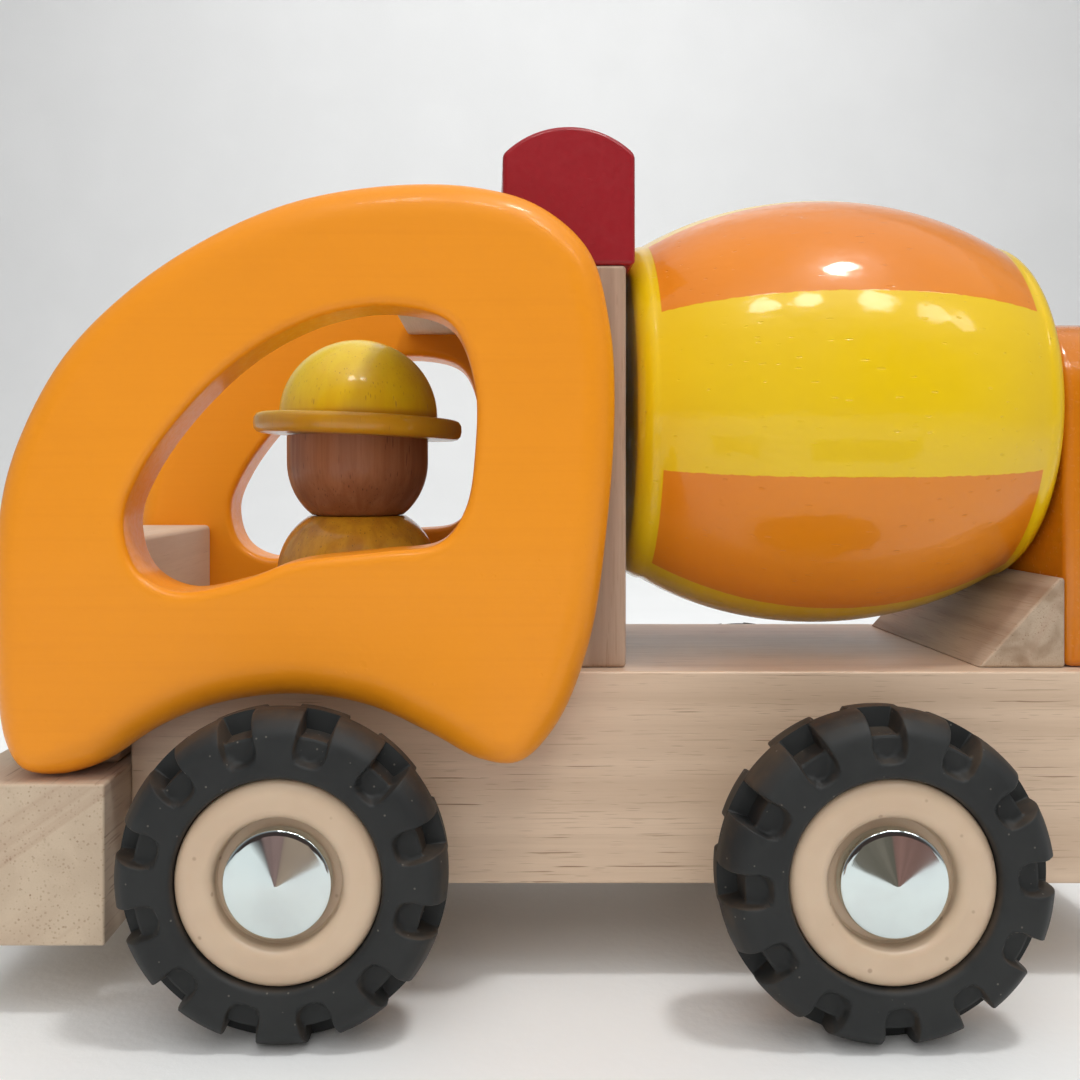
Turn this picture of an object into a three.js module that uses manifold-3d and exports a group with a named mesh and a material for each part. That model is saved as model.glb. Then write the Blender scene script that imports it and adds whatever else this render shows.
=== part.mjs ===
import * as THREE from "three";
import { mergeVertices } from "three/addons/utils/BufferGeometryUtils.js";
import Module from "manifold-3d";

// A wooden toy cement mixer truck. Millimetres, +Z up, its front towards -X, its left side towards -Y.
// The origin is on the ground, in the middle of the truck's length and width.

const wasm = await Module();
wasm.setup();

// Driving dimensions
const TYRE_RADIUS = 30;
const TYRE_WIDTH = 17;
const TYRE_BORE = 18.5;
const TYRE_WALL_RADIUS = 26.6;
const TYRE_SHOULDER_RADIUS = 28.3;
const TYRE_SHOULDER_WIDTH = 1.5;
const TYRE_CROWN_HALF = 2.5;
const TREAD_RIB_HALF = 0.4;
const TREAD_ROW_BLOCKS = 12;
const TREAD_PHASE_FRONT = 15.8;
const TREAD_PHASE_REAR = 2.6;
const WHEEL_MID_Y = 60;
const FRONT_AXLE_X = -57;
const REAR_AXLE_X = 51.7;
const AXLE_RADIUS = 2.5;
const AXLE_CLEARANCE = 0.3;
const AXLE_REACH = 6.6;
const RIM_RADIUS = 18.4;
const RIM_RECESS_RADIUS = 11.45;
const RIM_RECESS_FLOOR = 4.2;
const RIM_BOSS = 9.5;
const RIM_BOSS_RADIUS = 7;
const RIM_BACK = 6.5;
const RIM_EDGE = 6;
const RIM_OUTER_ROUND = [3.4, 1.9];
const RIM_INNER_ROUND = [1.75, 1.4];
const RIM_INNER_LIFT = 0.4;
const CAP_RADIUS = 9.65;
const CAP_EDGE = 7.7;
const CAP_TIP = 9.3;
const CAP_BEVEL = 0.3;
const CAP_BACK_BEVEL = 0.5;
const CAP_SOCKET = 6.9;
const CAP_GAP = 0.4;
const SPACER_RADIUS = 6.5;
const POCKET_WIDTH = 5.8;
const POCKET_FLOOR = 26;
const POCKET_FOOT = 21.6;
const POCKET_DEPTH = 2.4;

const CHASSIS_WIDTH = 76.4;
const CHASSIS_BOTTOM = 19.9;
const DECK_Z = 62.6;
const CHASSIS_FRONT_X = -91.7;
const CHASSIS_REAR_X = 122;
const CHASSIS_ARRIS = 0.6;

const BUMPER_FRONT_X = -122;
const BUMPER_BOTTOM = 13.7;
const BUMPER_TOP = 44.1;
const BUMPER_WIDTH = 108;

const CAB_PANEL_THICKNESS = 15.3;
const CAB_PANEL_ROUND = 6.6;
const HOOD_REAR_X = -94;
const HOOD_TOP = 89;
const ROOF_FRONT_X = -41.5;
const ROOF_UNDERSIDE = 139.7;
const ROOF_TOP = 145.1;

const UPPER_WIDTH = 67.6;
const BACK_PANEL_FRONT_X = -3.9;
const BACK_PANEL_REAR_X = 8.4;
const ROOF_BLOCK_FRONT_X = -16.9;
const ROOF_BLOCK_REAR_X = 10.3;
const ROOF_BLOCK_SIDE_HEIGHT = 22.9;
const ROOF_BLOCK_RISE = 5.7;

const DRUM_X = 54.2;
const DRUM_Z = 116.6;
const DRUM_RADIUS = 48.4;
const DRUM_HALF_LENGTH = 43.5;
const DRUM_BULGE_2 = 0.0059;
const DRUM_BULGE_4 = 4.9e-7;
const DRUM_END_ROUND = 4.5;
const DRUM_PIN_RADIUS = 4;
const DRUM_PIN_CLEARANCE = 0.35;
const DRUM_PIN_DEPTH = 8.5;

const SUPPORT_FRONT_X = 98.4;
const SUPPORT_THICKNESS = 15;
const SUPPORT_TOP = 135;
const SUPPORT_SHOULDER = 117;
const WEDGE_FRONT_X = 80.6;
const WEDGE_TOP = 81;

const DRIVER_X = -50.4;
const DRIVER_BODY_RADIUS = 18.6;
const DRIVER_BODY_TOP = 92.8;
const DRIVER_LIFT = 0.4;
const DRIVER_FOOT_EASE = 0.8;
const SHOULDER_CENTRE = 4;
const SHOULDER_Z = 79.6;
const SHOULDER_HEIGHT = 15.1;
const DRIVER_HEAD_RADIUS = 16.5;
const JAW_CENTRE = 3;
const JAW_Z = 105.4;
const JAW_HEIGHT = 15.05;
const DRIVER_HEAD_TOP = 110.2;
const HAT_BRIM_RADIUS = 24.2;
const HAT_BRIM_THICKNESS = 4.7;
const HAT_DOME_RADIUS = 18.4;
const HAT_HEIGHT = 22.6;
const HAT_TILT = 2.4;
const HAT_LIFT = 0.9;
const DRIVER_PEG_RADIUS = 5;
const PEG_DEPTH = 15;
const HAT_PEG_DEPTH = 9;

const DOWEL_RADIUS = 4;
const DOWEL_CLEARANCE = 0.1;
const DOWEL_Y = 22;
const DECK_DOWEL_LENGTH = 24;
const ROOF_DOWEL_LENGTH = 12;
const PANEL_DOWEL_RADIUS = 3;
const PANEL_DOWEL_LENGTH = 20;
const GLUE_GAP = 0.05;

const RIGHT_ANGLE = Math.PI / 2;
const TURNED_SEGMENTS = 24;
const DRUM_SEGMENTS = 32;
const ROD_SEGMENTS = 12;
const CURVE_SEGMENTS = 5;

// Outlines in the X-Z plane: a few points that a smooth closed curve passes through.
const CAB_OUTLINE = [
  [-102.7, 44.5],
  [-109, 45.7],
  [-112.6, 51.2],
  [-114.2, 60.3],
  [-114.6, 73.9],
  [-114, 93.3],
  [-110.9, 106.9],
  [-101.9, 124.4],
  [-88.7, 137.9],
  [-72.6, 148.4],
  [-56.3, 155],
  [-37, 158],
  [-21.4, 157.4],
  [-9.8, 153.8],
  [-0.4, 145.3],
  [3.6, 131.3],
  [4.6, 116.7],
  [3.2, 93.3],
  [-0.3, 70],
  [-6.7, 54],
  [-13.9, 46.9],
  [-21.4, 47.4],
  [-31.2, 52.5],
  [-42.8, 57.7],
  [-56.5, 59.9],
  [-71, 58.3],
  [-82.7, 53.9],
  [-94.4, 46.6],
];
const WINDOW_OUTLINE = [
  [-88.8, 93.6],
  [-86.2, 84.2],
  [-78.7, 80.1],
  [-66.5, 82.1],
  [-57.1, 85.5],
  [-40.2, 87.6],
  [-28.9, 89.3],
  [-24.2, 95.5],
  [-22.3, 106.8],
  [-22.5, 119.9],
  [-27, 130.8],
  [-38.3, 134],
  [-51.4, 132.1],
  [-64.6, 125.6],
  [-75.9, 115.6],
  [-85.3, 103],
];

function material(colour, roughness, metalness = 0) {
  return new THREE.MeshStandardMaterial({ color: colour, roughness, metalness });
}

const naturalWood = material(0xd0b597, 0.65);
const edgeWood = material(0xb0957a, 0.75);
const orangePaint = material(0xe6952b, 0.4);
const yellowPaint = material(0xefcd32, 0.3);
const redPaint = material(0x9b2230, 0.45);
const headWood = material(0x9a6a4c, 0.6);
const rubber = material(0x2d2e2e, 0.7);
const rimPlastic = material(0xd2b79b, 0.4);
const capMetal = material(0xc8d7dc, 0.2, 1);
const axleMetal = material(0x9a9c9e, 0.35, 1);
const dowelWood = material(0xc9a67c, 0.7);

// A geometry as a manifold solid, and back.
function solid(geometry) {
  const bare = geometry.clone();
  bare.deleteAttribute("normal");
  bare.deleteAttribute("uv");
  const merged = mergeVertices(bare, 1e-4);
  return new wasm.Manifold(
    new wasm.Mesh({
      numProp: 3,
      vertProperties: new Float32Array(merged.attributes.position.array),
      triVerts: new Uint32Array(merged.index.array),
    }),
  );
}

function geometryOf(body) {
  const { vertProperties, triVerts } = body.getMesh();
  const geometry = new THREE.BufferGeometry();
  geometry.setAttribute("position", new THREE.BufferAttribute(vertProperties, 3));
  geometry.setIndex(new THREE.BufferAttribute(triVerts, 1));
  geometry.computeVertexNormals();
  return geometry;
}

// Turns a profile of [radius, height] pairs about the Y axis.
function turned(profile, segments = TURNED_SEGMENTS) {
  const points = profile.map(([radius, height]) => new THREE.Vector2(radius, height));
  return new THREE.LatheGeometry(points, segments);
}

function alongX(geometry) {
  return geometry.rotateZ(-RIGHT_ANGLE);
}

function alongZ(geometry) {
  return geometry.rotateX(RIGHT_ANGLE);
}

function rod(radius, length) {
  return new THREE.CylinderGeometry(radius, radius, length, ROD_SEGMENTS);
}

function drill(radius, length, axis, x, y, z) {
  const geometry = rod(radius, length);
  if (axis === "x") {
    alongX(geometry);
  } else if (axis === "z") {
    alongZ(geometry);
  }
  return solid(geometry.translate(x, y, z));
}

function smoothOutline(points, count) {
  const through = points.map(([x, z]) => new THREE.Vector3(x, z, 0));
  const curve = new THREE.CatmullRomCurve3(through, true, "centripetal");
  return curve.getSpacedPoints(count).slice(0, count).map((p) => new THREE.Vector2(p.x, p.y));
}

// Extrudes an X-Z shape along Y, centred on y = 0.
function extrudedAlongY(shape, width, bevel = 0, bevelSegments = 1) {
  const geometry = new THREE.ExtrudeGeometry(shape, {
    depth: width - 2 * bevel,
    steps: 1,
    bevelEnabled: bevel > 0,
    bevelThickness: bevel,
    bevelSize: bevel,
    bevelOffset: -bevel,
    bevelSegments,
    curveSegments: CURVE_SEGMENTS,
  });
  return geometry.translate(0, 0, bevel - width / 2).rotateX(RIGHT_ANGLE);
}

// A block across the truck, centred on its width, with the edges of its two sides eased.
function easedBlock([x0, x1], width, [z0, z1], ease) {
  const shape = new THREE.Shape([
    new THREE.Vector2(x0, z0),
    new THREE.Vector2(x1, z0),
    new THREE.Vector2(x1, z1),
    new THREE.Vector2(x0, z1),
  ]);
  return extrudedAlongY(shape, width, ease);
}

const truck = new THREE.Group();

function add(parent, name, geometry, look, x = 0, y = 0, z = 0) {
  const mesh = new THREE.Mesh(geometry, look);
  mesh.name = name;
  mesh.position.set(x, y, z);
  parent.add(mesh);
  return mesh;
}

const SIDES = [
  { name: "left", sign: -1 },
  { name: "right", sign: 1 },
];
const AXLES = [
  { name: "front", x: FRONT_AXLE_X, phase: TREAD_PHASE_FRONT },
  { name: "rear", x: REAR_AXLE_X, phase: TREAD_PHASE_REAR },
];

// Where the dowels stand. Each is a plain rod in a blind hole in both pieces that it joins.
const panelDowels = [
  { name: "front", x: -104, z: 70 },
  { name: "rear", x: -20, z: 57.3 },
];
const panelDowelY = CHASSIS_WIDTH / 2;
const backPanelX = (BACK_PANEL_FRONT_X + BACK_PANEL_REAR_X) / 2;
const supportX = SUPPORT_FRONT_X + SUPPORT_THICKNESS / 2;
const dowelRows = [
  { name: "bumper_dowel", axis: "x", length: DECK_DOWEL_LENGTH, x: CHASSIS_FRONT_X, z: 26 },
  { name: "hood_dowel", axis: "z", length: DECK_DOWEL_LENGTH, x: -104, z: BUMPER_TOP },
  { name: "back_panel_dowel", axis: "z", length: DECK_DOWEL_LENGTH, x: backPanelX, z: DECK_Z },
  { name: "support_dowel", axis: "z", length: DECK_DOWEL_LENGTH, x: supportX, z: DECK_Z },
  { name: "roof_dowel", axis: "z", length: ROOF_DOWEL_LENGTH, x: backPanelX, z: ROOF_TOP },
];

// Cuts the holes of the named dowel rows, one on each side, out of a body.
function cutDowelRows(body, names) {
  let cut = body;
  for (const row of dowelRows.filter((one) => names.includes(one.name))) {
    const radius = DOWEL_RADIUS + DOWEL_CLEARANCE;
    const length = row.length + 2 * GLUE_GAP;
    for (const side of SIDES) {
      const hole = drill(radius, length, row.axis, row.x, side.sign * DOWEL_Y, row.z);
      cut = cut.subtract(hole);
    }
  }
  return cut;
}

function panelDowelHole(dowel, y) {
  const radius = PANEL_DOWEL_RADIUS + DOWEL_CLEARANCE;
  return drill(radius, PANEL_DOWEL_LENGTH + 2 * GLUE_GAP, "y", dowel.x, y, dowel.z);
}

function cutPanelDowels(body, dowel) {
  return SIDES.reduce(
    (cut, side) => cut.subtract(panelDowelHole(dowel, side.sign * panelDowelY)),
    body,
  );
}

function chassisBlock() {
  const block = easedBlock(
    [CHASSIS_FRONT_X, CHASSIS_REAR_X],
    CHASSIS_WIDTH,
    [CHASSIS_BOTTOM, DECK_Z],
    CHASSIS_ARRIS,
  );
  const rows = ["bumper_dowel", "back_panel_dowel", "support_dowel"];
  let body = cutPanelDowels(cutDowelRows(solid(block), rows), panelDowels[1]);
  for (const axle of AXLES) {
    const bore = AXLE_RADIUS + AXLE_CLEARANCE;
    body = body.subtract(drill(bore, CHASSIS_WIDTH + 10, "y", axle.x, 0, TYRE_RADIUS));
  }
  const pegHole = drill(DRIVER_PEG_RADIUS + 0.4, 2 * PEG_DEPTH, "z", DRIVER_X, 0, DECK_Z);
  return geometryOf(body.subtract(pegHole));
}

function bumperBlock() {
  const block = easedBlock(
    [BUMPER_FRONT_X, CHASSIS_FRONT_X - GLUE_GAP],
    BUMPER_WIDTH,
    [BUMPER_BOTTOM, BUMPER_TOP],
    CHASSIS_ARRIS,
  );
  return geometryOf(cutDowelRows(solid(block), ["bumper_dowel", "hood_dowel"]));
}

// The hood stands on the bumper between the cab panels, and its front bows out a little.
function hoodBlock() {
  const foot = BUMPER_TOP + GLUE_GAP;
  const shape = new THREE.Shape();
  shape.moveTo(HOOD_REAR_X, foot);
  shape.lineTo(-115.4, foot);
  shape.quadraticCurveTo(-118.6, 56, -119, 70);
  shape.quadraticCurveTo(-119.5, 84, -113.5, HOOD_TOP);
  shape.lineTo(HOOD_REAR_X, HOOD_TOP);
  const block = solid(extrudedAlongY(shape, CHASSIS_WIDTH - 2 * GLUE_GAP, 0.8, 1));
  return geometryOf(cutPanelDowels(cutDowelRows(block, ["hood_dowel"]), panelDowels[0]));
}

// A cab side: one thick rounded board with a wheel arch below and a window through it.
function cabPanel(sign) {
  const outline = new THREE.Shape(smoothOutline(CAB_OUTLINE, 64));
  const board = extrudedAlongY(outline, CAB_PANEL_THICKNESS, CAB_PANEL_ROUND, 3);
  const windowShape = new THREE.Shape(smoothOutline(WINDOW_OUTLINE, 40));
  const window = extrudedAlongY(windowShape, CAB_PANEL_THICKNESS + 20);
  let body = solid(board).subtract(solid(window));
  const innerFace = sign * (-CAB_PANEL_THICKNESS / 2 - GLUE_GAP);
  for (const dowel of panelDowels) {
    body = body.subtract(panelDowelHole(dowel, innerFace));
  }
  return geometryOf(body);
}

function roofBoard() {
  return easedBlock(
    [ROOF_FRONT_X, BACK_PANEL_FRONT_X - GLUE_GAP],
    CHASSIS_WIDTH - 2 * GLUE_GAP,
    [ROOF_UNDERSIDE, ROOF_TOP],
    0.5,
  );
}

function drumPinHole(x, depth) {
  return drill(DRUM_PIN_RADIUS + DOWEL_CLEARANCE, 2 * depth, "x", x, 0, DRUM_Z);
}

function backPanel() {
  const block = easedBlock(
    [BACK_PANEL_FRONT_X, BACK_PANEL_REAR_X],
    UPPER_WIDTH,
    [DECK_Z + GLUE_GAP, ROOF_TOP],
    0.6,
  );
  const drilled = solid(block).subtract(drumPinHole(BACK_PANEL_REAR_X, DRUM_PIN_DEPTH));
  return geometryOf(cutDowelRows(drilled, ["back_panel_dowel", "roof_dowel"]));
}

// The block on the roof: straight sides with a shallow arc over the top.
function roofBlock() {
  const bottom = ROOF_TOP + GLUE_GAP;
  const shoulder = ROOF_TOP + ROOF_BLOCK_SIDE_HEIGHT;
  const halfLength = (ROOF_BLOCK_REAR_X - ROOF_BLOCK_FRONT_X) / 2;
  const radius = (halfLength ** 2 + ROOF_BLOCK_RISE ** 2) / (2 * ROOF_BLOCK_RISE);
  const centreX = ROOF_BLOCK_FRONT_X + halfLength;
  const centreZ = shoulder + ROOF_BLOCK_RISE - radius;
  const halfAngle = Math.asin(halfLength / radius);
  const shape = new THREE.Shape();
  shape.moveTo(ROOF_BLOCK_FRONT_X, bottom);
  shape.lineTo(ROOF_BLOCK_REAR_X, bottom);
  shape.absarc(centreX, centreZ, radius, RIGHT_ANGLE - halfAngle, RIGHT_ANGLE + halfAngle);
  const block = solid(extrudedAlongY(shape, UPPER_WIDTH, 1));
  return geometryOf(cutDowelRows(block, ["roof_dowel"]));
}

// The drum's radius swells towards its middle as R - a x^2 - b x^4.
function drumRadiusAt(x) {
  return DRUM_RADIUS - DRUM_BULGE_2 * x ** 2 - DRUM_BULGE_4 * x ** 4;
}

// Part of an ellipse as [radius, height] pairs. Its ends are counted in right angles.
function ellipseArc(centre, across, up, from, to, steps) {
  return Array.from({ length: steps + 1 }, (_, i) => {
    const angle = RIGHT_ANGLE * (from + ((to - from) * i) / steps);
    return [centre[0] + across * Math.cos(angle), centre[1] + up * Math.sin(angle)];
  });
}

function drumBarrel() {
  const bore = DRUM_PIN_RADIUS + DRUM_PIN_CLEARANCE;
  const shoulder = DRUM_HALF_LENGTH - DRUM_END_ROUND;
  const endRadius = drumRadiusAt(shoulder) - DRUM_END_ROUND;
  const round = DRUM_END_ROUND;
  const steps = 8;
  const side = Array.from({ length: steps - 1 }, (_, i) => {
    const x = shoulder * ((2 * (i + 1)) / steps - 1);
    return [drumRadiusAt(x), x];
  });
  const profile = [
    [bore, -DRUM_HALF_LENGTH],
    ...ellipseArc([endRadius, -shoulder], round, round, -1, 0, 3),
    ...side,
    ...ellipseArc([endRadius, shoulder], round, round, 0, 1, 3),
    [bore, DRUM_HALF_LENGTH],
    [bore, -DRUM_HALF_LENGTH],
  ];
  return alongX(turned(profile, DRUM_SEGMENTS));
}

// The board behind the drum: square feet, then two round shoulders up to a flat top.
function drumSupport() {
  const half = UPPER_WIDTH / 2;
  const round = SUPPORT_TOP - SUPPORT_SHOULDER;
  const shape = new THREE.Shape();
  shape.moveTo(-half, DECK_Z + GLUE_GAP);
  shape.lineTo(half, DECK_Z + GLUE_GAP);
  shape.absarc(half - round, SUPPORT_SHOULDER, round, 0, RIGHT_ANGLE);
  shape.absarc(round - half, SUPPORT_SHOULDER, round, RIGHT_ANGLE, 2 * RIGHT_ANGLE);
  const board = extrudedAlongY(shape, SUPPORT_THICKNESS, 1.5).rotateZ(RIGHT_ANGLE);
  const drilled = solid(board.translate(supportX, 0, 0)).subtract(
    drumPinHole(SUPPORT_FRONT_X, DRUM_PIN_DEPTH),
  );
  return geometryOf(cutDowelRows(drilled, ["support_dowel"]));
}

function wedgeBlock() {
  const heel = SUPPORT_FRONT_X - GLUE_GAP;
  const foot = DECK_Z + GLUE_GAP;
  const shape = new THREE.Shape([
    new THREE.Vector2(WEDGE_FRONT_X, foot),
    new THREE.Vector2(heel, foot),
    new THREE.Vector2(heel, WEDGE_TOP),
  ]);
  return extrudedAlongY(shape, UPPER_WIDTH, 0.5, 1);
}

// The driver: a turned body, head and hard hat on one upright peg.
const pegBore = DRIVER_PEG_RADIUS + DOWEL_CLEARANCE;

function driverBody() {
  const bottom = DECK_Z + DRIVER_LIFT;
  const rise = DRIVER_BODY_TOP - SHOULDER_Z;
  const shoulder = [SHOULDER_CENTRE, SHOULDER_Z];
  const across = DRIVER_BODY_RADIUS - SHOULDER_CENTRE;
  const end = Math.asin(rise / SHOULDER_HEIGHT) / RIGHT_ANGLE;
  return alongZ(
    turned(
      [
        [pegBore, bottom],
        [DRIVER_BODY_RADIUS - DRIVER_FOOT_EASE, bottom],
        [DRIVER_BODY_RADIUS, bottom + DRIVER_FOOT_EASE],
        ...ellipseArc(shoulder, across, SHOULDER_HEIGHT, 0, end, 6),
        [pegBore, DRIVER_BODY_TOP],
        [pegBore, bottom],
      ],
    ),
  );
}

function driverHead() {
  const bottom = DRIVER_BODY_TOP + GLUE_GAP;
  const jaw = [JAW_CENTRE, JAW_Z];
  const across = DRIVER_HEAD_RADIUS - JAW_CENTRE;
  const start = Math.asin((bottom - JAW_Z) / JAW_HEIGHT) / RIGHT_ANGLE;
  return alongZ(
    turned(
      [
        [pegBore, bottom],
        ...ellipseArc(jaw, across, JAW_HEIGHT, start, 0, 5),
        [DRIVER_HEAD_RADIUS, DRIVER_HEAD_TOP],
        [pegBore, DRIVER_HEAD_TOP],
        [pegBore, bottom],
      ],
    ),
  );
}

// The hat's own origin is the middle of its underside, where it is tilted back a little.
function driverHat() {
  const lip = HAT_BRIM_THICKNESS / 2;
  const domeHeight = HAT_HEIGHT - HAT_BRIM_THICKNESS;
  const brimEdge = [HAT_BRIM_RADIUS - lip, lip];
  const dome = ellipseArc([0, HAT_BRIM_THICKNESS], HAT_DOME_RADIUS, domeHeight, 0, 1, 7);
  return alongZ(
    turned(
      [
        [0, HAT_PEG_DEPTH],
        [pegBore + 0.4, HAT_PEG_DEPTH],
        [pegBore + 0.4, 0],
        ...ellipseArc(brimEdge, lip, lip, -1, 1, 4),
        ...dome.slice(0, -1),
        [0, HAT_HEIGHT],
      ],
    ),
  );
}

// One pocket of the tread, at angle 0: a bed across half the tread and a rounded foot down the side.
function treadPocket(side) {
  const half = TYRE_WIDTH / 2;
  const width = POCKET_WIDTH;
  const height = 2 * (TYRE_RADIUS - POCKET_FLOOR);
  const length = half + 1;
  const bed = new THREE.BoxGeometry(height, length, width);
  bed.translate(POCKET_FLOOR + height / 2, side * (TREAD_RIB_HALF + length / 2), 0);
  const heel = ellipseArc([POCKET_FOOT + width / 2, 0], width / 2, width / 2, 1, 3, 4);
  const top = POCKET_FLOOR + height;
  const outline = [[top, -width / 2], [top, width / 2], ...heel];
  const shape = new THREE.Shape(outline.map(([x, z]) => new THREE.Vector2(x, z)));
  const foot = extrudedAlongY(shape, 2 * POCKET_DEPTH);
  foot.translate(0, side * half, 0);
  return solid(bed).add(solid(foot));
}

// A tyre has two rows of tread blocks, and the inner row is half a block out of step.
function tyre(outerSide, phase) {
  const half = TYRE_WIDTH / 2;
  const shoulder = half - TYRE_SHOULDER_WIDTH;
  const profile = [
    [TYRE_BORE, -half],
    [TYRE_WALL_RADIUS, -half],
    [TYRE_SHOULDER_RADIUS, -shoulder],
    [TYRE_RADIUS, -TYRE_CROWN_HALF],
    [TYRE_RADIUS, TYRE_CROWN_HALF],
    [TYRE_SHOULDER_RADIUS, shoulder],
    [TYRE_WALL_RADIUS, half],
    [TYRE_BORE, half],
    [TYRE_BORE, -half],
  ];
  const pitch = 360 / TREAD_ROW_BLOCKS;
  let body = solid(turned(profile));
  for (const side of [-1, 1]) {
    const pocket = treadPocket(side);
    const offset = side === outerSide ? phase : phase + pitch / 2;
    for (let i = 0; i < TREAD_ROW_BLOCKS; i++) {
      body = body.subtract(pocket.rotate([0, -(offset + i * pitch), 0]));
    }
  }
  return geometryOf(body.simplify(0.02));
}

// Rim and cap profiles run outwards from the wheel's middle plane, so the left side turns them round.
function facing(profile, outerSide) {
  const sided = profile.map(([radius, out]) => [radius, out * outerSide]);
  return outerSide > 0 ? sided : sided.reverse();
}

function rim(outerSide) {
  const bore = AXLE_RADIUS + AXLE_CLEARANCE;
  const outer = [RIM_RADIUS - RIM_OUTER_ROUND[0], RIM_EDGE];
  const inner = [RIM_RECESS_RADIUS + RIM_INNER_ROUND[0], RIM_EDGE + RIM_INNER_LIFT];
  const profile = [
    [bore, -RIM_BOSS],
    [RIM_BOSS_RADIUS, -RIM_BOSS],
    [RIM_BOSS_RADIUS, -RIM_BACK],
    [RIM_RADIUS, -RIM_BACK],
    [RIM_RADIUS, RIM_EDGE],
    ...ellipseArc(outer, ...RIM_OUTER_ROUND, 0.2, 1, 2),
    ...ellipseArc(inner, ...RIM_INNER_ROUND, 1.2, 2, 2),
    [RIM_RECESS_RADIUS, RIM_RECESS_FLOOR],
    [bore, RIM_RECESS_FLOOR],
    [bore, -RIM_BOSS],
  ];
  return turned(facing(profile, outerSide));
}

function hubCap(outerSide) {
  const back = RIM_RECESS_FLOOR + CAP_GAP;
  const socket = AXLE_RADIUS + DOWEL_CLEARANCE;
  const profile = [
    [0, CAP_SOCKET],
    [socket, CAP_SOCKET],
    [socket, back],
    [CAP_RADIUS - CAP_BACK_BEVEL, back],
    [CAP_RADIUS, back + CAP_BACK_BEVEL],
    [CAP_RADIUS, CAP_EDGE - CAP_BEVEL],
    [CAP_RADIUS - CAP_BEVEL, CAP_EDGE],
    [0, CAP_TIP],
  ];
  return turned(facing(profile, outerSide));
}

function addBodywork() {
  const half = CHASSIS_WIDTH / 2;
  add(truck, "chassis_block", chassisBlock(), naturalWood);
  add(truck, "front_bumper", bumperBlock(), naturalWood);
  add(truck, "hood_block", hoodBlock(), naturalWood);
  for (const side of SIDES) {
    const y = side.sign * (half + GLUE_GAP + CAB_PANEL_THICKNESS / 2);
    add(truck, "cab_panel_" + side.name, cabPanel(side.sign), orangePaint, 0, y, 0);
  }
  add(truck, "roof_board", roofBoard(), naturalWood);
  add(truck, "back_panel", backPanel(), edgeWood);
  add(truck, "roof_block", roofBlock(), redPaint);
  add(truck, "drum_support", drumSupport(), orangePaint);
  add(truck, "deck_wedge", wedgeBlock(), naturalWood);
}

function addDowels() {
  for (const side of SIDES) {
    for (const row of dowelRows) {
      const pin = rod(DOWEL_RADIUS, row.length - 0.4);
      const geometry = row.axis === "x" ? alongX(pin) : alongZ(pin);
      const y = side.sign * DOWEL_Y;
      add(truck, row.name + "_" + side.name, geometry, dowelWood, row.x, y, row.z);
    }
    for (const dowel of panelDowels) {
      const name = "panel_dowel_" + dowel.name + "_" + side.name;
      const geometry = rod(PANEL_DOWEL_RADIUS, PANEL_DOWEL_LENGTH - 0.4);
      add(truck, name, geometry, dowelWood, dowel.x, side.sign * panelDowelY, dowel.z);
    }
  }
}

function addDrum() {
  const from = BACK_PANEL_REAR_X - DRUM_PIN_DEPTH + 0.3;
  const to = SUPPORT_FRONT_X + DRUM_PIN_DEPTH - 0.3;
  const pin = alongX(rod(DRUM_PIN_RADIUS, to - from));
  add(truck, "drum_pin", pin, dowelWood, (from + to) / 2, 0, DRUM_Z);
  add(truck, "drum", drumBarrel(), yellowPaint, DRUM_X, 0, DRUM_Z);
}

function addDriver() {
  const driver = new THREE.Group();
  driver.position.x = DRIVER_X;
  truck.add(driver);
  const hatZ = DRIVER_HEAD_TOP + HAT_LIFT;
  const bottom = DECK_Z - PEG_DEPTH + 0.5;
  const top = hatZ + HAT_PEG_DEPTH - 0.8;
  const peg = alongZ(rod(DRIVER_PEG_RADIUS, top - bottom));
  add(driver, "driver_peg", peg, dowelWood, 0, 0, (top + bottom) / 2);
  add(driver, "driver_body", driverBody(), yellowPaint);
  add(driver, "driver_head", driverHead(), headWood);
  const hat = add(driver, "driver_hat", driverHat(), yellowPaint, 0, 0, hatZ);
  hat.rotation.y = THREE.MathUtils.degToRad(HAT_TILT);
}

function addRunningGear() {
  const spacerLength = WHEEL_MID_Y - RIM_BOSS - CHASSIS_WIDTH / 2 - 0.6;
  const spacerY = (CHASSIS_WIDTH / 2 + WHEEL_MID_Y - RIM_BOSS) / 2;
  for (const axle of AXLES) {
    const gear = new THREE.Group();
    gear.position.set(axle.x, 0, TYRE_RADIUS);
    truck.add(gear);
    const axleLength = 2 * (WHEEL_MID_Y + AXLE_REACH);
    add(gear, axle.name + "_axle", rod(AXLE_RADIUS, axleLength), axleMetal);
    for (const side of SIDES) {
      const at = axle.name + "_" + side.name;
      const wheelY = side.sign * WHEEL_MID_Y;
      add(gear, "tyre_" + at, tyre(side.sign, axle.phase), rubber, 0, wheelY, 0);
      add(gear, "rim_" + at, rim(side.sign), rimPlastic, 0, wheelY, 0);
      add(gear, "hub_cap_" + at, hubCap(side.sign), capMetal, 0, wheelY, 0);
      add(gear, "spacer_" + at, spacer(spacerLength), rimPlastic, 0, side.sign * spacerY, 0);
    }
  }
}

function spacer(length) {
  const bore = AXLE_RADIUS + AXLE_CLEARANCE;
  const profile = [
    [bore, -length / 2],
    [SPACER_RADIUS, -length / 2],
    [SPACER_RADIUS, length / 2],
    [bore, length / 2],
    [bore, -length / 2],
  ];
  return turned(profile);
}

addBodywork();
addDowels();
addDrum();
addDriver();
addRunningGear();

export default truck;
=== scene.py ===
"""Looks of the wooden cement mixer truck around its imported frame.
Lengths in the mesh code are millimetres, and piece() turns them into metres."""
import math

import bmesh
import bpy
import numpy as np
from mathutils import Matrix, Vector


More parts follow.
